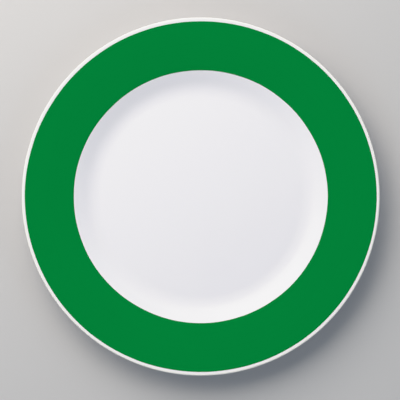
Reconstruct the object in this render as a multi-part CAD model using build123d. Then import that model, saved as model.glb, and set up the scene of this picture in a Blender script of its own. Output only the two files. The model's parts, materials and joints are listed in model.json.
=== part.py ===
from build123d import *
import os
from math import cos, radians, tan

# A round rimmed dinner plate: one porcelain body, its two coats of glaze, and an enamel band on the rim.
# Millimetres and degrees. +Z is up. The origin is the centre of the plane that the foot ring stands on.
# Every piece is turned about Z, so each shape is a section of (radius, height) points.

# Face
PLATE_RADIUS = 135.0
FLOOR_LEVEL = 8.0
FLOOR_RADIUS = 76.0
COVE_RADIUS = 30.0
WALL_SLOPE = 25.0
SHOULDER_RADIUS = 95.6
SHOULDER_ROUND = 9.0
RIM_SLOPE = 11.0

# Thickness, through the finished plate
FLOOR_THICK = 4.5
WALL_THICK = 4.2
SHOULDER_THICK = 3.9
LIP_THICK = 2.9
LIP_UPPER_ROUND = 0.9
LIP_LOWER_ROUND = 1.6

# Back and foot ring
BACK_SLOPE_AT_FOOT = 10.0
BACK_COVE_ROUND = 24.0
BACK_SHOULDER_ROUND = 12.0
FOOT_INNER_TOP = 74.2
FOOT_INNER_EDGE = 75.2
FOOT_OUTER_EDGE = 78.2
FOOT_OUTER_TOP = 79.2
FOOT_EDGE_ROUND = 0.8
FOOT_INNER_FILLET = 1.5
FOOT_OUTER_FILLET = 1.4

# Coats
GLAZE_THICK = 0.25
BARE_FOOT_HEIGHT = 1.2
BAND_INNER_RADIUS = 96.0
BAND_OUTER_RADIUS = 132.5
BAND_THICK = 0.15

# Half the size of the construction rectangles that keep one side of a section
REACH = 200.0


def meeting_point(point_a, slope_a, point_b, slope_b):
    """Where two straight lines of a section cross. Each has a point and a slope above the horizontal."""
    run_a = tan(radians(slope_a))
    run_b = tan(radians(slope_b))
    radius = (point_b[1] - point_a[1] + run_a * point_a[0] - run_b * point_b[0]) / (run_a - run_b)
    return (radius, point_a[1] + run_a * (radius - point_a[0]))


def face_corners():
    """The corners of the face, before rounding: cove, shoulder, and the lip's upper corner."""
    cove = (FLOOR_RADIUS + COVE_RADIUS * tan(radians(WALL_SLOPE / 2)), FLOOR_LEVEL)
    wall_rise = (SHOULDER_RADIUS - cove[0]) * tan(radians(WALL_SLOPE))
    shoulder = (SHOULDER_RADIUS, FLOOR_LEVEL + wall_rise)
    rim_rise = (PLATE_RADIUS - SHOULDER_RADIUS) * tan(radians(RIM_SLOPE))
    lip = (PLATE_RADIUS, shoulder[1] + rim_rise)
    return cove, shoulder, lip


def back_corners(shoulder, lip):
    """The corners of the back: the lip's lower corner, the shoulder, the cove, and the top of the foot ring."""
    lip_under = (PLATE_RADIUS, lip[1] - LIP_THICK)
    wall_line = (shoulder[0], shoulder[1] - WALL_THICK / cos(radians(WALL_SLOPE)))
    rim_line = (shoulder[0], shoulder[1] - SHOULDER_THICK / cos(radians(RIM_SLOPE)))
    shoulder_under = meeting_point(wall_line, WALL_SLOPE, rim_line, RIM_SLOPE)
    foot_top = (FOOT_OUTER_TOP, FLOOR_LEVEL - FLOOR_THICK)
    cove_under = meeting_point(foot_top, BACK_SLOPE_AT_FOOT, wall_line, WALL_SLOPE)
    return lip_under, shoulder_under, cove_under, foot_top


def finished_section():
    """The section of the glazed plate, carried past the axis so that its coats stay even there."""
    cove, shoulder, lip = face_corners()
    lip_under, shoulder_under, cove_under, foot_top = back_corners(shoulder, lip)
    base_level = FLOOR_LEVEL - FLOOR_THICK
    corners_and_rounds = [
        (cove, COVE_RADIUS),
        (shoulder, SHOULDER_ROUND),
        (lip, LIP_UPPER_ROUND),
        (lip_under, LIP_LOWER_ROUND),
        (shoulder_under, BACK_SHOULDER_ROUND),
        (cove_under, BACK_COVE_ROUND),
        (foot_top, FOOT_OUTER_FILLET),
        ((FOOT_OUTER_EDGE, 0), FOOT_EDGE_ROUND),
        ((FOOT_INNER_EDGE, 0), FOOT_EDGE_ROUND),
        ((FOOT_INNER_TOP, base_level), FOOT_INNER_FILLET),
    ]
    start = (-FLOOR_THICK, FLOOR_LEVEL)
    end = (-FLOOR_THICK, base_level)
    corners = [start] + [corner for corner, _ in corners_and_rounds] + [end]
    rounds = [size for _, size in corners_and_rounds]
    outline = FilletPolyline(corners, radius=rounds)
    return make_face([outline, Line(end, start)])


def zone(low, high):
    """A rectangle between two (radius, height) corners, to cut a section with."""
    middle = ((low[0] + high[0]) / 2, (low[1] + high[1]) / 2)
    return Pos(*middle) * Rectangle(high[0] - low[0], high[1] - low[1])


def body_section(finished):
    """The porcelain lies one coat of glaze inside the plate, except at the foot's bare edge."""
    under_glaze = offset(finished, amount=-GLAZE_THICK)
    bare_foot = finished & zone((0, 0), (REACH, BARE_FOOT_HEIGHT))
    return (under_glaze + bare_foot) & zone((0, 0), (REACH, REACH))


def glaze_sections(finished, body):
    """The two coats: over the face and back, and inside the foot ring."""
    coats = (finished & zone((0, 0), (REACH, REACH))) - body
    inside_foot = zone((0, 0), ((FOOT_INNER_EDGE + FOOT_OUTER_EDGE) / 2, FLOOR_LEVEL - FLOOR_THICK / 2))
    return coats - inside_foot, coats & inside_foot


def band_section(finished):
    """A thin coat of enamel that stands on the glaze of the rim's face, and not on its back."""
    _, shoulder, lip = face_corners()
    half_rim = SHOULDER_THICK / 2
    above_mid_rim = make_face(
        Polyline(
            (shoulder[0], shoulder[1] - half_rim),
            (lip[0], lip[1] - half_rim),
            (lip[0], REACH),
            (shoulder[0], REACH),
            close=True,
        )
    )
    raised = offset(finished, amount=BAND_THICK) - finished
    return raised & above_mid_rim & zone((BAND_INNER_RADIUS, 0), (BAND_OUTER_RADIUS, REACH))


def turned(section):
    """The solid of a section turned once round the plate's axis."""
    return revolve(Plane.XZ * section, axis=Axis.Z, revolution_arc=360)


def main():
    finished = finished_section()
    body = body_section(finished)
    upper_glaze, base_glaze = glaze_sections(finished, body)
    pieces = {
        "porcelain_body": turned(body),
        "upper_glaze": turned(upper_glaze),
        "base_glaze": turned(base_glaze),
        "green_rim_band": turned(band_section(finished)),
    }
    os.makedirs("parts", exist_ok=True)
    for name, solid in pieces.items():
        export_step(solid, f"parts/{name}.step")


main()
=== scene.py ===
import json
from math import atan2, ceil, cos, hypot, pi, radians, sin, sqrt, tan
import bmesh
import bpy
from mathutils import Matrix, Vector


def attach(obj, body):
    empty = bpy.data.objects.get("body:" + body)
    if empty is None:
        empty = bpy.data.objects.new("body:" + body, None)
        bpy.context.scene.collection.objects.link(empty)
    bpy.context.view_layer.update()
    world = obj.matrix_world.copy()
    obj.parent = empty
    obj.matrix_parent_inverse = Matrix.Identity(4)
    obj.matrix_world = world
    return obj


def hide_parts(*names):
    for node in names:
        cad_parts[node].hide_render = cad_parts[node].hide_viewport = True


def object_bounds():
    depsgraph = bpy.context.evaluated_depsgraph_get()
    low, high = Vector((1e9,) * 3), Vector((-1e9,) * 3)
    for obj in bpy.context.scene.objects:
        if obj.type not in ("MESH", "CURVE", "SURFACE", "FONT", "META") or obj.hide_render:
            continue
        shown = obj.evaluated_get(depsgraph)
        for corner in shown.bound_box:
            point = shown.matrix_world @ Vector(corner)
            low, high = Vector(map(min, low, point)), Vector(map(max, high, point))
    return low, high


# A white china dinner plate with a broad green enamel band, seen from straight above.
# Metres. Every piece is turned about Z, then given the slight warp that fired porcelain has.

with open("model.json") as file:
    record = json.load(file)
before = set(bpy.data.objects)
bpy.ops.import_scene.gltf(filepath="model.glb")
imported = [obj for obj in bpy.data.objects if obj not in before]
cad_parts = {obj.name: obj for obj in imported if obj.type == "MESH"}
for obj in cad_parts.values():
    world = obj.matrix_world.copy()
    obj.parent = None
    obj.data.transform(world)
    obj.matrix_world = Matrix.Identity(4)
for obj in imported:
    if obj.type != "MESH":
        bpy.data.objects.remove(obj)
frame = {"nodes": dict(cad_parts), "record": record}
CAD_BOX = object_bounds()
MM = 0.001


def ring_radii(node):
    """The smallest and the largest radius of a CAD node about the plate's axis."""
    found = [hypot(vertex.co.x, vertex.co.y) for vertex in frame["nodes"][node].data.vertices]
    return min(found), max(found)


# Read from the frame
MOUNTS = {mount["name"]: mount["pos_m"] for mount in frame["record"]["mounts"]}
FLOOR_LEVEL = MOUNTS["well_floor"][2]
FOOT_MIDDLE = MOUNTS["foot_ring"][0]
PLATE_RADIUS = ring_radii("upper_glaze")[1]
BAND_INNER, BAND_OUTER = ring_radii("green_rim_band")

# The rest of the section, repeated from the CAD part
FLOOR_RADIUS = 76.0 * MM
COVE_ROUND = 30.0 * MM
WALL_SLOPE = radians(25.0)
SHOULDER_RADIUS = 95.6 * MM
SHOULDER_ROUND = 9.0 * MM
RIM_SLOPE = radians(11.0)
FLOOR_THICK = 4.5 * MM
WALL_THICK = 4.2 * MM
SHOULDER_THICK = 3.9 * MM
LIP_THICK = 2.9 * MM
LIP_UPPER_ROUND = 0.9 * MM
LIP_LOWER_ROUND = 1.6 * MM
BACK_SLOPE_AT_FOOT = radians(10.0)
BACK_COVE_ROUND = 24.0 * MM
BACK_SHOULDER_ROUND = 12.0 * MM
FOOT_HALF_EDGE = 1.5 * MM
FOOT_HALF_TOP = 2.5 * MM
FOOT_EDGE_ROUND = 0.8 * MM
FOOT_INNER_FILLET = 1.5 * MM
FOOT_OUTER_FILLET = 1.4 * MM
GLAZE_THICK = 0.25 * MM
BARE_FOOT_HEIGHT = 1.2 * MM
BAND_THICK = 0.15 * MM

# Making of the meshes
TURNS = 320
STRAIGHT_STEP = 2.6 * MM
ARC_STEP = radians(1.5)
TIGHT_ARC_STEP = radians(7.0)
TIGHT_ROUND = 3.0 * MM
SHARP_EDGE = radians(50.0)
SAME_PLACE = 1e-9

# What firing does to the shape. Waves round the plate are (how many, phase, share) each.
RIM_DROP = 0.22 * MM
RIM_DROP_WAVES = ((2, 0.7, 0.6), (3, 2.2, 0.4))
FLOOR_SINK = 0.10 * MM
OVALITY = 0.0008
OVALITY_PHASE = -0.9
GLAZE_ROLL = 0.45 * MM
GLAZE_LINE_REACH = 3 * GLAZE_ROLL
GLAZE_LINE_WANDER = 0.16 * MM
GLAZE_LINE_WAVES = ((5, 1.0, 0.5), (13, 0.0, 0.3), (31, 2.0, 0.2))

# The enamel band's soft edges, and how far they stray
BAND_EDGE_WIDTH = 0.50 * MM
BAND_EDGE_STEPS = 6
BAND_OVALITY = 0.24 * MM
BAND_OVALITY_PHASE = -0.4
BAND_STRAY_REACH = 4.0 * MM
BAND_EDGE_WANDER = 0.08 * MM
INNER_EDGE_WAVES = ((7, 0.4, 2 / 3), (17, 2.0, 1 / 3))
OUTER_EDGE_WAVES = ((6, 1.9, 2 / 3), (19, 0.0, 1 / 3))


# ---- Section lines, as (radius, height) points ----


def meeting_point(point_a, slope_a, point_b, slope_b):
    """Where two straight lines of a section cross. Each has a point and a slope above the horizontal."""
    run_a = tan(slope_a)
    run_b = tan(slope_b)
    radius = (point_b[1] - point_a[1] + run_a * point_a[0] - run_b * point_b[0]) / (run_a - run_b)
    return (radius, point_a[1] + run_a * (radius - point_a[0]))


def steps_between(start, end):
    """Points along a straight line after its start, its end included."""
    count = max(1, ceil((end - start).length / STRAIGHT_STEP))
    return [start.lerp(end, step / count) for step in range(1, count + 1)]


def arc_at(before, corner, after, size):
    """The points of the arc that rounds a corner, from one straight to the next."""
    back = (before - corner).normalized()
    onward = (after - corner).normalized()
    inside = back.angle(onward)
    reach = size / tan(inside / 2)
    first = corner + back * reach
    last = corner + onward * reach
    centre = corner + (back + onward).normalized() * (size / sin(inside / 2))
    turn = pi - inside
    step = TIGHT_ARC_STEP if size < TIGHT_ROUND else ARC_STEP
    count = max(2, ceil(turn / step))
    spoke_a = first - centre
    spoke_b = last - centre
    points = []
    for index in range(count + 1):
        part = turn * index / count
        points.append(centre + (spoke_a * sin(turn - part) + spoke_b * sin(part)) / sin(turn))
    return points


def rounded(start, corners, end):
    """A section's line from start to end, past (corner, round) pairs."""
    places = [Vector(start)] + [Vector(corner) for corner, _ in corners] + [Vector(end)]
    line = [places[0]]
    for index, (_, size) in enumerate(corners, start=1):
        arc = arc_at(places[index - 1], places[index], places[index + 1], size)
        line += steps_between(line[-1], arc[0])
        line += arc[1:]
    return line + steps_between(line[-1], places[-1])


def outward_normals(line):
    """At each point of a line, the direction to its left, which is out of the porcelain."""
    normals = []
    for index in range(len(line)):
        run = line[min(index + 1, len(line) - 1)] - line[max(index - 1, 0)]
        normals.append(Vector((-run.y, run.x)).normalized())
    return normals


def inset(line, depths):
    """The line moved into the porcelain by a depth at each of its points."""
    return [point - normal * depth for point, normal, depth in zip(line, outward_normals(line), depths)]


def under_glaze(line):
    """The line moved in by one coat of glaze."""
    return inset(line, [GLAZE_THICK] * len(line))


def lengths_to_end(line):
    """How far each point of a line is from its end, measured along it."""
    left = [0.0]
    for before, after in zip(reversed(line[:-1]), reversed(line[1:])):
        left.append(left[-1] + (after - before).length)
    return left[::-1]


def face_and_back_corners():
    """The corners from the cove round the lip to the top of the foot ring, each with its round."""
    cove = (FLOOR_RADIUS + COVE_ROUND * tan(WALL_SLOPE / 2), FLOOR_LEVEL)
    shoulder = (SHOULDER_RADIUS, FLOOR_LEVEL + (SHOULDER_RADIUS - cove[0]) * tan(WALL_SLOPE))
    lip = (PLATE_RADIUS, shoulder[1] + (PLATE_RADIUS - SHOULDER_RADIUS) * tan(RIM_SLOPE))
    lip_under = (PLATE_RADIUS, lip[1] - LIP_THICK)
    wall_back = (shoulder[0], shoulder[1] - WALL_THICK / cos(WALL_SLOPE))
    rim_back = (shoulder[0], shoulder[1] - SHOULDER_THICK / cos(RIM_SLOPE))
    shoulder_under = meeting_point(wall_back, WALL_SLOPE, rim_back, RIM_SLOPE)
    foot_top = (FOOT_MIDDLE + FOOT_HALF_TOP, FLOOR_LEVEL - FLOOR_THICK)
    cove_under = meeting_point(foot_top, BACK_SLOPE_AT_FOOT, wall_back, WALL_SLOPE)
    return [
        (cove, COVE_ROUND),
        (shoulder, SHOULDER_ROUND),
        (lip, LIP_UPPER_ROUND),
        (lip_under, LIP_LOWER_ROUND),
        (shoulder_under, BACK_SHOULDER_ROUND),
        (cove_under, BACK_COVE_ROUND),
        (foot_top, FOOT_OUTER_FILLET),
    ]


def foot_side(side):
    """Where the glaze stops on one side of the foot ring. The side is 1 outside and -1 inside."""
    share = BARE_FOOT_HEIGHT / (FLOOR_LEVEL - FLOOR_THICK)
    half = FOOT_HALF_EDGE + (FOOT_HALF_TOP - FOOT_HALF_EDGE) * share
    return (FOOT_MIDDLE + side * half, BARE_FOOT_HEIGHT)


def upper_line():
    """The glaze's outer line, from the middle of the well round the lip to the foot ring's outer side."""
    return rounded((0, FLOOR_LEVEL), face_and_back_corners(), foot_side(1))


def base_line():
    """The glaze's outer line inside the foot ring, from its inner side to the middle."""
    base_level = FLOOR_LEVEL - FLOOR_THICK
    corner = (FOOT_MIDDLE - FOOT_HALF_TOP, base_level)
    return rounded(foot_side(-1), [(corner, FOOT_INNER_FILLET)], (0, base_level))


def rolled_edge(distance):
    """How far the glaze's surface has drawn in, where it ends in a rounded roll at the bare foot."""
    if distance >= GLAZE_ROLL:
        return 0.0
    short = 1 - distance / GLAZE_ROLL
    return GLAZE_THICK * (1 - sqrt(1 - short * short))


# ---- Turning and warping ----


def eased(value):
    """0 below 0, 1 above 1, and a smooth rise between."""
    value = min(1.0, max(0.0, value))
    return value * value * (3 - 2 * value)


def waves(parts, turn):
    """The sum of (how many, phase, share) sine waves at an angle round the plate."""
    return sum(share * sin(count * turn + phase) for count, phase, share in parts)


def fired(x, y, z):
    """Where a point ends up after firing: the lip turns oval, the rim dips and the floor sinks."""
    radius = hypot(x, y)
    turn = atan2(y, x)
    out = eased((radius - FOOT_MIDDLE) / (PLATE_RADIUS - FOOT_MIDDLE))
    dip = sum(share * (1 + cos(count * turn + phase)) / 2 for count, phase, share in RIM_DROP_WAVES)
    z -= RIM_DROP * out * dip
    z -= FLOOR_SINK * eased(1 - radius / FOOT_MIDDLE)
    squeeze = 1 - OVALITY * out * (1 + cos(2 * turn + OVALITY_PHASE)) / 2
    return (x * squeeze, y * squeeze, z)


def turned(name, line, shape):
    """A closed solid turned from a line. The shape moves each of its points at each angle, before firing."""
    mesh = bmesh.new()
    rings = []
    for index, point in enumerate(line):
        if point[0] < SAME_PLACE:
            rings.append([mesh.verts.new(fired(0, 0, point[1]))])
            continue
        ring = []
        for step in range(TURNS):
            turn = 2 * pi * step / TURNS
            radius, height = shape(index, point, turn)
            ring.append(mesh.verts.new(fired(radius * cos(turn), radius * sin(turn), height)))
        rings.append(ring)
    for ring, next_ring in zip(rings, rings[1:] + rings[:1]):
        if len(ring) == len(next_ring) == 1:
            continue
        for step in range(TURNS):
            after = (step + 1) % TURNS
            if len(ring) == 1:
                mesh.faces.new((ring[0], next_ring[step], next_ring[after]))
            elif len(next_ring) == 1:
                mesh.faces.new((ring[after], ring[step], next_ring[0]))
            else:
                mesh.faces.new((ring[step], next_ring[step], next_ring[after], ring[after]))
    bmesh.ops.recalc_face_normals(mesh, faces=mesh.faces)
    data = bpy.data.meshes.new(name)
    mesh.to_mesh(data)
    mesh.free()
    data.polygons.foreach_set("use_smooth", [True] * len(data.polygons))
    data.set_sharp_from_angle(angle=SHARP_EDGE)
    piece = bpy.data.objects.new(name, data)
    bpy.context.scene.collection.objects.link(piece)
    return piece


def plain(index, point, turn):
    """A shape that changes nothing."""
    return point


# ---- The pieces ----


def glaze_shell(name, line, distances):
    """A coat of glaze along a line, with a rolled edge where it ends at the bare foot."""
    outer = inset(line, [rolled_edge(distance) for distance in distances])
    inner = under_glaze(line)
    loop = list(zip(outer + inner[::-1], distances + distances[::-1]))
    steps = [(after[0] - here[0]).length for here, after in zip(loop, loop[1:] + loop[:1])]
    loop = [here for here, step in zip(loop, steps) if step > SAME_PLACE]

    def wander(index, point, turn):
        """The edge of the wiped glaze wanders up and down round the foot ring."""
        near = eased(1 - loop[index][1] / GLAZE_LINE_REACH)
        return point[0], point[1] + near * GLAZE_LINE_WANDER * waves(GLAZE_LINE_WAVES, turn)

    return turned(name, [point for point, _ in loop], wander)


def build_upper_glaze():
    """The glaze over the face and the back, down to the foot ring's outer side."""
    line = upper_line()
    return glaze_shell("glaze_over_face_and_back", line, lengths_to_end(line))


def build_base_glaze():
    """The glaze inside the foot ring."""
    line = base_line()
    distances = lengths_to_end(line[::-1])[::-1]
    return glaze_shell("glaze_inside_foot_ring", line, distances)


def build_body():
    """The porcelain under the glaze, and the foot ring's bare edge, level with it."""
    upper = under_glaze(upper_line())
    base = under_glaze(base_line())
    corners = [
        ((FOOT_MIDDLE + FOOT_HALF_EDGE - GLAZE_THICK, 0), FOOT_EDGE_ROUND),
        ((FOOT_MIDDLE - FOOT_HALF_EDGE + GLAZE_THICK, 0), FOOT_EDGE_ROUND),
    ]
    edge = rounded(upper[-1], corners, base[0])
    return turned("porcelain_body_and_foot", upper + edge[1:-1] + base, plain)


def on_face(line, radius):
    """The point of the face at a radius, between the well and the lip."""
    after = next(index for index in range(1, len(line)) if line[index].x >= radius)
    before = line[after - 1]
    return before.lerp(line[after], (radius - before.x) / (line[after].x - before.x))


def band_radii():
    """Radii across the enamel band, closer together at its two soft edges."""
    shares = [step / BAND_EDGE_STEPS for step in range(BAND_EDGE_STEPS + 1)]
    edge = [BAND_EDGE_WIDTH * (1 - cos(pi / 2 * share)) for share in shares]
    count = ceil((BAND_OUTER - BAND_INNER) / STRAIGHT_STEP)
    span = BAND_OUTER - BAND_INNER - 2 * BAND_EDGE_WIDTH
    inner = [BAND_INNER + reach for reach in edge]
    middle = [BAND_INNER + BAND_EDGE_WIDTH + span * step / count for step in range(1, count)]
    outer = [BAND_OUTER - reach for reach in reversed(edge)]
    return inner + middle + outer


def build_band():
    """The enamel: a thin coat that stands on the rim's glaze, and thins out softly at both edges."""
    face = upper_line()
    radii = band_radii()
    under = [on_face(face, radius) for radius in radii]
    raised = []
    for radius, point, normal in zip(radii, under, outward_normals(under)):
        short = 1 - min(1.0, min(radius - BAND_INNER, BAND_OUTER - radius) / BAND_EDGE_WIDTH)
        raised.append(point + normal * BAND_THICK * sqrt(max(0.0, 1 - short * short)))

    def wander(index, point, turn):
        """The band was turned a little oval, and the hand-held brush strays at each of its edges."""
        inner = eased(1 - (point[0] - BAND_INNER) / BAND_STRAY_REACH)
        outer = eased(1 - (BAND_OUTER - point[0]) / BAND_STRAY_REACH)
        stray = inner * waves(INNER_EDGE_WAVES, turn) + outer * waves(OUTER_EDGE_WAVES, turn)
        oval = cos(2 * turn + BAND_OVALITY_PHASE) * (inner + outer)
        out = BAND_EDGE_WANDER * stray + BAND_OVALITY * oval
        return point[0] + out, point[1] + out * tan(RIM_SLOPE)

    return turned("green_enamel_band", raised + under[1:-1][::-1], wander)


# ---- Looks ----

# Linear colours
GLAZE_WHITE = (0.878, 0.872, 0.922)
GLAZE_WHITE_DEEP = (0.866, 0.860, 0.912)
GLAZE_POOLED = (0.780, 0.815, 0.840)
# Lip colour, partly real and partly painted light: the warm tone is thin glaze over the body, and it is
# painted lighter still, a painted highlight on the lip.
GLAZE_THIN_AND_LIP_HIGHLIGHT = (0.950, 0.935, 0.885)
SPECK_BROWN = (0.300, 0.220, 0.150)
ENAMEL_GREEN = (0.0004, 0.2385, 0.0450)
ENAMEL_GREEN_DENSE = (0.0003, 0.2205, 0.0412)
BISQUE_PALE = (0.80, 0.78, 0.73)
BISQUE_WARM = (0.70, 0.66, 0.58)
SCUFF_GREY = (0.36, 0.36, 0.37)
CARD_LIGHT = (0.604, 0.600, 0.606)
CARD_DARK = (0.588, 0.586, 0.592)
BLACK = (0.0, 0.0, 0.0)

# The clear coat of glaze and enamel
COAT_IOR = 1.32
COAT_ROUGHNESS = 0.06
COAT_UNEVENNESS = 0.006 * MM

# Below, noise is (size of its lumps, detail, roughness), specks are (spacing, size, share of the cells
# that have one), and a surface's roughness is (least, greatest). Any other pair is where an effect
# starts and where it is full.

# Glaze
GLAZE_CLOUDS = (55 * MM, 3.0, 0.5)
GLAZE_WEAR = (20 * MM, 4.0, 0.6)
GLAZE_ROUGHNESS = (0.16, 0.24)
GLAZE_PEEL = (7 * MM, 1.0, 0.5)
GLAZE_SWELL = (26 * MM, 1.0, 0.5)
GLAZE_SWELL_HEIGHT = 4.0
GLAZE_SPECKS = (14 * MM, 0.45 * MM, 0.16)
GLAZE_SPECK_SHARE = 0.35
POOL_FROM_FOOT = (FOOT_HALF_TOP + 4.5 * MM, FOOT_HALF_TOP)
POOL_HEIGHT = (5.2 * MM, 3.9 * MM)
POOL_SHARE = 0.75
# The lip band: thin glaze warms its tone, and a painted highlight lightens it all round, the shaded side
# too.
THIN_LIP_AND_HIGHLIGHT = (PLATE_RADIUS - 2.4 * MM, PLATE_RADIUS - 0.8 * MM)
THIN_LIP_AND_HIGHLIGHT_SHARE = 0.9
BACK_BELOW = (4.6 * MM, 3.8 * MM)
BACK_RING_SPACING = 2.8 * MM
BACK_RING_HEIGHT = 1.2

# Enamel
ENAMEL_CLOUDS = (30 * MM, 3.0, 0.5)
ENAMEL_ROUGHNESS = (0.30, 0.38)
ENAMEL_PEEL = (4 * MM, 1.0, 0.5)
ENAMEL_SWELL = (22 * MM, 1.0, 0.5)
ENAMEL_SWELL_HEIGHT = 3.0
STROKE_SPACING = 1.6 * MM
STROKE_DETAIL = 2.0

# Bisque
BISQUE_GRAIN = (1.6 * MM, 5.0, 0.7)
BISQUE_STAIN = (11 * MM, 3.0, 0.5)
BISQUE_ROUGHNESS = (0.75, 0.95)
BISQUE_SPECULAR = 0.3
BISQUE_UNEVENNESS = 0.05 * MM
BISQUE_SPECKS = (5 * MM, 0.5 * MM, 0.3)
BISQUE_SPECK_SHARE = 0.6
SCUFF_HEIGHT = (0.35 * MM, 0.05 * MM)
SCUFF_STAIN = (0.50, 0.68)
SCUFF_SHARE = 0.55

# Card
CARD_CLOUDS = (90 * MM, 4.0, 0.5)
CARD_GRAIN = (1.2 * MM, 3.0, 0.5)
CARD_UNEVENNESS = 0.03 * MM
CARD_ROUGHNESS = 0.9
CARD_FADE = (0.22, 0.80)

# Camera and card
FRAME_WIDTH = 0.3014
SENSOR_WIDTH = 36.0
LENS = 150.0
CLIP_START = 0.01
CLIP_END = 50.0
CAMERA_OFFSET = (-0.57 * MM, -2.55 * MM)
CARD_RADIUS = 5.0
CARD_SEGMENTS = 128

# Light
SOFTBOX_AZIMUTHS = (radians(110.0), radians(134.0))
SOFTBOX_FROM_ZENITH = radians(46.0)
SOFTBOX_DISTANCE = 1.0
SOFTBOX_SIZE = 0.89
SOFTBOX_POWER = 5.7
SOFTBOX_COLOUR = (1.0, 0.926, 0.835)

# Surroundings: dark overhead, pale around, and as pale as the far card near the horizon
SKY_OVERHEAD = (0.024, 0.026, 0.030)
SKY_AROUND = (0.565, 0.657, 0.756)
SKY_LOW = (0.620, 0.625, 0.635)
OVERHEAD_WITHIN = radians(38.0)
AROUND_BEYOND = radians(46.0)
LOW_FROM = radians(30.0)
LOW_BELOW = radians(10.0)

# The picture's soft shoulder: where it starts, the levels that shape it, and the last level it covers
SHOULDER_FROM = 0.80
SHOULDER_LEVELS = (0.9, 1.05, 1.3)
BRIGHTEST = 2.0

# Blender's numbers for the Mix node's colour sockets, and for the curve that all channels share
MIX_A = 6
MIX_B = 7
MIX_RESULT = 2
SHARED_CURVE = 3


# ---- Materials ----


def add(tree, kind, inputs=None, **properties):
    """A node with its properties set. Each input is a number, a colour or another node's output."""
    node = tree.nodes.new(kind)
    for name, value in properties.items():
        setattr(node, name, value)
    for key, value in (inputs or {}).items():
        if isinstance(value, bpy.types.NodeSocket):
            tree.links.new(value, node.inputs[key])
        else:
            node.inputs[key].default_value = value
    return node


def calc(tree, operation, *values):
    """A Math node's output."""
    return add(tree, "ShaderNodeMath", dict(enumerate(values)), operation=operation).outputs[0]


def product(tree, first, *others):
    """The values multiplied together."""
    for value in others:
        first = calc(tree, "MULTIPLY", first, value)
    return first


def total(tree, first, *others):
    """The values added together."""
    for value in others:
        first = calc(tree, "ADD", first, value)
    return first


def between(tree, value, low, high):
    """0 at low and 1 at high, smooth and held beyond."""
    inputs = {"Value": value, "From Min": low, "From Max": high}
    return add(tree, "ShaderNodeMapRange", inputs, interpolation_type="SMOOTHSTEP").outputs["Result"]


def blended(tree, share, colour_a, colour_b):
    """A mix of two colours."""
    node = add(tree, "ShaderNodeMix", {"Factor": share}, data_type="RGBA")
    for key, value in ((MIX_A, colour_a), (MIX_B, colour_b)):
        if isinstance(value, bpy.types.NodeSocket):
            tree.links.new(value, node.inputs[key])
        else:
            node.inputs[key].default_value = (*value, 1)
    return node.outputs[MIX_RESULT]


def tinted(tree, tone, colour, *shares):
    """A tone that turns to a colour by the product of the shares."""
    return blended(tree, product(tree, *shares), tone, colour)


def cloud(tree, place, size, detail, roughness):
    """Noise from 0 to 1 whose lumps are about that many metres apart."""
    inputs = {"Vector": place, "Scale": 1 / size, "Detail": detail, "Roughness": roughness}
    return add(tree, "ShaderNodeTexNoise", inputs).outputs["Fac"]


def polar(tree):
    """A point's place, its distance from the plate's axis and its height."""
    place = add(tree, "ShaderNodeTexCoord").outputs["Object"]
    parts = add(tree, "ShaderNodeSeparateXYZ", {"Vector": place})
    level = add(tree, "ShaderNodeCombineXYZ", {"X": parts.outputs["X"], "Y": parts.outputs["Y"]})
    radius = add(tree, "ShaderNodeVectorMath", {0: level.outputs[0]}, operation="LENGTH")
    return place, radius.outputs["Value"], parts.outputs["Z"]


def specks(tree, place, spacing, size, share):
    """1 inside sparse round specks, which lie in that share of the cells of a loose grid."""
    cells = add(tree, "ShaderNodeTexVoronoi", {"Vector": place, "Scale": 1 / spacing, "Randomness": 1.0})
    near = calc(tree, "LESS_THAN", cells.outputs["Distance"], size / spacing / 2)
    pick = add(tree, "ShaderNodeSeparateColor", {"Color": cells.outputs["Color"]})
    chosen = calc(tree, "LESS_THAN", pick.outputs[0], share)
    return product(tree, near, chosen)


def new_material(name):
    """An empty node material and its shader."""
    material = bpy.data.materials.new(name)
    material.use_nodes = True
    tree = material.node_tree
    tree.nodes.clear()
    shader = add(tree, "ShaderNodeBsdfPrincipled")
    output = add(tree, "ShaderNodeOutputMaterial")
    tree.links.new(shader.outputs[0], output.inputs[0])
    return material, tree, shader


def set_roughness(tree, shader, value, limits):
    """A roughness that follows a value from 0 to 1 between two limits."""
    low, high = limits
    spread = add(tree, "ShaderNodeMapRange", {"Value": value, "To Min": low, "To Max": high})
    tree.links.new(spread.outputs[0], shader.inputs["Roughness"])


def set_bump(tree, shader, height, distance, keys=("Normal",)):
    """Feeds a height map into the shader's normals."""
    bump = add(tree, "ShaderNodeBump", {"Height": height, "Distance": distance, "Strength": 1.0})
    for key in keys:
        tree.links.new(bump.outputs[0], shader.inputs[key])


def set_gloss(tree, shader, surface):
    """The fired surface of glaze and enamel: a clear coat with a slightly uneven surface."""
    shader.inputs["Specular IOR Level"].default_value = 0.0
    shader.inputs["Coat Weight"].default_value = 1.0
    shader.inputs["Coat Roughness"].default_value = COAT_ROUGHNESS
    shader.inputs["Coat IOR"].default_value = COAT_IOR
    set_bump(tree, shader, surface, COAT_UNEVENNESS, keys=("Normal", "Coat Normal"))


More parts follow.
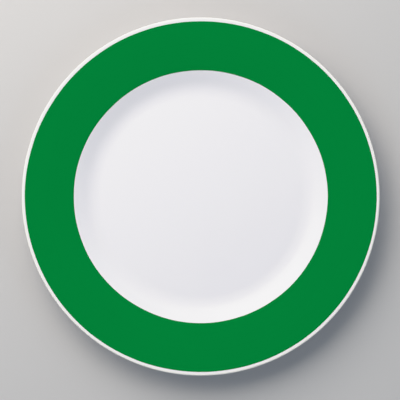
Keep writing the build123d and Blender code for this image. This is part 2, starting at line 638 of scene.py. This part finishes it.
def glaze_material():
    """White china under clear glaze, denser where it pools, warm and painted lighter at the lip (thin glaze
    plus a painted highlight), with rings on the back.
    """
    material, tree, shader = new_material("white_glaze")
    place, radius, height = polar(tree)
    tone = blended(tree, cloud(tree, place, *GLAZE_CLOUDS), GLAZE_WHITE, GLAZE_WHITE_DEEP)
    from_foot = calc(tree, "ABSOLUTE", calc(tree, "SUBTRACT", radius, FOOT_MIDDLE))
    beside_foot = between(tree, from_foot, *POOL_FROM_FOOT)
    tone = tinted(tree, tone, GLAZE_POOLED, beside_foot, between(tree, height, *POOL_HEIGHT), POOL_SHARE)
    # Painted highlight: the lip is painted lighter all round, on top of the warm tone of its thin glaze.
    tone = tinted(tree, tone, GLAZE_THIN_AND_LIP_HIGHLIGHT, between(tree, radius, *THIN_LIP_AND_HIGHLIGHT), THIN_LIP_AND_HIGHLIGHT_SHARE)
    tone = tinted(tree, tone, SPECK_BROWN, specks(tree, place, *GLAZE_SPECKS), GLAZE_SPECK_SHARE)
    tree.links.new(tone, shader.inputs["Base Color"])
    set_roughness(tree, shader, cloud(tree, place, *GLAZE_WEAR), GLAZE_ROUGHNESS)
    rings = calc(tree, "SINE", product(tree, radius, 2 * pi / BACK_RING_SPACING))
    rings = product(tree, rings, between(tree, height, *BACK_BELOW), BACK_RING_HEIGHT)
    swell = product(tree, cloud(tree, place, *GLAZE_SWELL), GLAZE_SWELL_HEIGHT)
    set_gloss(tree, shader, total(tree, cloud(tree, place, *GLAZE_PEEL), rings, swell))
    return material


def enamel_material():
    """Green enamel, banded on a wheel: faint strokes that run round the rim, and a glossy fired surface."""
    material, tree, shader = new_material("green_enamel")
    place, radius, _ = polar(tree)
    across = {"W": product(tree, radius, 1 / STROKE_SPACING), "Scale": 1.0, "Detail": STROKE_DETAIL}
    strokes = add(tree, "ShaderNodeTexNoise", across, noise_dimensions="1D").outputs["Fac"]
    clouds = cloud(tree, place, *ENAMEL_CLOUDS)
    mottle = product(tree, total(tree, strokes, clouds), 1 / 2)
    tree.links.new(blended(tree, mottle, ENAMEL_GREEN, ENAMEL_GREEN_DENSE), shader.inputs["Base Color"])
    set_roughness(tree, shader, clouds, ENAMEL_ROUGHNESS)
    swell = product(tree, cloud(tree, place, *ENAMEL_SWELL), ENAMEL_SWELL_HEIGHT)
    set_gloss(tree, shader, total(tree, cloud(tree, place, *ENAMEL_PEEL), strokes, swell))
    return material


def bisque_material():
    """Bare porcelain on the foot's edge: fine dry grain, kiln sand specks and grey marks from tables."""
    material, tree, shader = new_material("bisque")
    place, _, height = polar(tree)
    grain = cloud(tree, place, *BISQUE_GRAIN)
    tone = blended(tree, grain, BISQUE_PALE, BISQUE_WARM)
    standing = between(tree, height, *SCUFF_HEIGHT)
    marked = between(tree, cloud(tree, place, *BISQUE_STAIN), *SCUFF_STAIN)
    tone = tinted(tree, tone, SCUFF_GREY, standing, marked, SCUFF_SHARE)
    tone = tinted(tree, tone, SPECK_BROWN, specks(tree, place, *BISQUE_SPECKS), BISQUE_SPECK_SHARE)
    tree.links.new(tone, shader.inputs["Base Color"])
    set_roughness(tree, shader, grain, BISQUE_ROUGHNESS)
    shader.inputs["Specular IOR Level"].default_value = BISQUE_SPECULAR
    set_bump(tree, shader, grain, BISQUE_UNEVENNESS)
    return material


def card_material():
    """Pale matt card. Far from the plate it turns from lit to glowing, and so meets the sky unseen."""
    material, tree, shader = new_material("pale_card")
    place = add(tree, "ShaderNodeTexCoord").outputs["Object"]
    away = add(tree, "ShaderNodeVectorMath", {0: place}, operation="LENGTH").outputs["Value"]
    far = between(tree, away, *CARD_FADE)
    tone = blended(tree, cloud(tree, place, *CARD_CLOUDS), CARD_LIGHT, CARD_DARK)
    tree.links.new(tinted(tree, tone, BLACK, far), shader.inputs["Base Color"])
    tree.links.new(far, shader.inputs["Emission Strength"])
    shader.inputs["Emission Color"].default_value = (*SKY_LOW, 1)
    shader.inputs["Roughness"].default_value = CARD_ROUGHNESS
    shader.inputs["Specular IOR Level"].default_value = 0.0
    set_bump(tree, shader, cloud(tree, place, *CARD_GRAIN), CARD_UNEVENNESS)
    return material


# ---- Camera, floor and light ----


def set_camera(lip_level):
    """Straight above, with a long lens."""
    camera = bpy.data.cameras.new("camera")
    camera.lens = LENS
    camera.sensor_width = SENSOR_WIDTH
    camera.clip_start = CLIP_START
    camera.clip_end = CLIP_END
    holder = bpy.data.objects.new("camera", camera)
    holder.location = (*CAMERA_OFFSET, lip_level + FRAME_WIDTH * LENS / SENSOR_WIDTH)
    bpy.context.scene.collection.objects.link(holder)
    bpy.context.scene.camera = holder


def lay_card():
    """The floor: a wide round sheet of card."""
    mesh = bmesh.new()
    bmesh.ops.create_circle(mesh, cap_ends=True, segments=CARD_SEGMENTS, radius=CARD_RADIUS)
    data = bpy.data.meshes.new("card")
    mesh.to_mesh(data)
    mesh.free()
    card = bpy.data.objects.new("card", data)
    bpy.context.scene.collection.objects.link(card)
    card.data.materials.append(card_material())


def hang_softbox(azimuth):
    """A large square softbox that faces the plate from the upper left."""
    light = bpy.data.lights.new("softbox", "AREA")
    light.shape = "SQUARE"
    light.size = SOFTBOX_SIZE
    light.energy = SOFTBOX_POWER
    light.color = SOFTBOX_COLOUR
    holder = bpy.data.objects.new("softbox", light)
    level = sin(SOFTBOX_FROM_ZENITH)
    away = Vector((cos(azimuth) * level, sin(azimuth) * level, cos(SOFTBOX_FROM_ZENITH)))
    holder.location = away * SOFTBOX_DISTANCE
    holder.rotation_euler = away.to_track_quat("Z", "Y").to_euler()
    holder.visible_camera = False
    bpy.context.scene.collection.objects.link(holder)


def set_surroundings():
    """A pale studio that is dark overhead, so that glaze and enamel mirror no light up at the camera."""
    world = bpy.data.worlds.new("studio")
    world.use_nodes = True
    tree = world.node_tree
    tree.nodes.clear()
    direction = add(tree, "ShaderNodeTexCoord").outputs["Generated"]
    upness = add(tree, "ShaderNodeSeparateXYZ", {"Vector": direction}).outputs["Z"]
    overhead = between(tree, upness, cos(AROUND_BEYOND), cos(OVERHEAD_WITHIN))
    colour = blended(tree, overhead, SKY_AROUND, SKY_OVERHEAD)
    colour = blended(tree, between(tree, upness, sin(LOW_FROM), sin(LOW_BELOW)), colour, SKY_LOW)
    background = add(tree, "ShaderNodeBackground", {"Color": colour, "Strength": 1.0})
    output = add(tree, "ShaderNodeOutputWorld")
    tree.links.new(background.outputs[0], output.inputs[0])
    bpy.context.scene.world = world


def soften_highlights():
    """A soft shoulder, as film has, so that the brightest china keeps its shading."""
    view = bpy.context.scene.view_settings
    view.view_transform = "Standard"
    view.use_curve_mapping = True
    mapping = view.curve_mapping
    mapping.white_level = (BRIGHTEST, BRIGHTEST, BRIGHTEST)
    curve = mapping.curves[SHARED_CURVE]
    room = 1 - SHOULDER_FROM
    curve.points.new(SHOULDER_FROM / BRIGHTEST, SHOULDER_FROM)
    for level in SHOULDER_LEVELS:
        curve.points.new(level / BRIGHTEST, 1 - room * room / (level - SHOULDER_FROM + room))
    curve.points[0].handle_type = "VECTOR"
    curve.points[1].handle_type = "VECTOR"
    mapping.update()


def finish_piece(piece, slot, material, *nodes):
    """Gives a piece its material, hides the CAD nodes it stands in for, and hangs it under the root body."""
    piece.data.materials.append(material)
    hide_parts(*nodes)
    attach(piece, "root")


set_camera(CAD_BOX[1][2])
white = glaze_material()
finish_piece(build_upper_glaze(), "white_glaze", white, "upper_glaze")
finish_piece(build_base_glaze(), "white_glaze", white, "base_glaze")
finish_piece(build_body(), "bisque", bisque_material(), "porcelain_body")
finish_piece(build_band(), "green_enamel", enamel_material(), "green_rim_band")
lay_card()
for azimuth in SOFTBOX_AZIMUTHS:
    hang_softbox(azimuth)
set_surroundings()
soften_highlights()
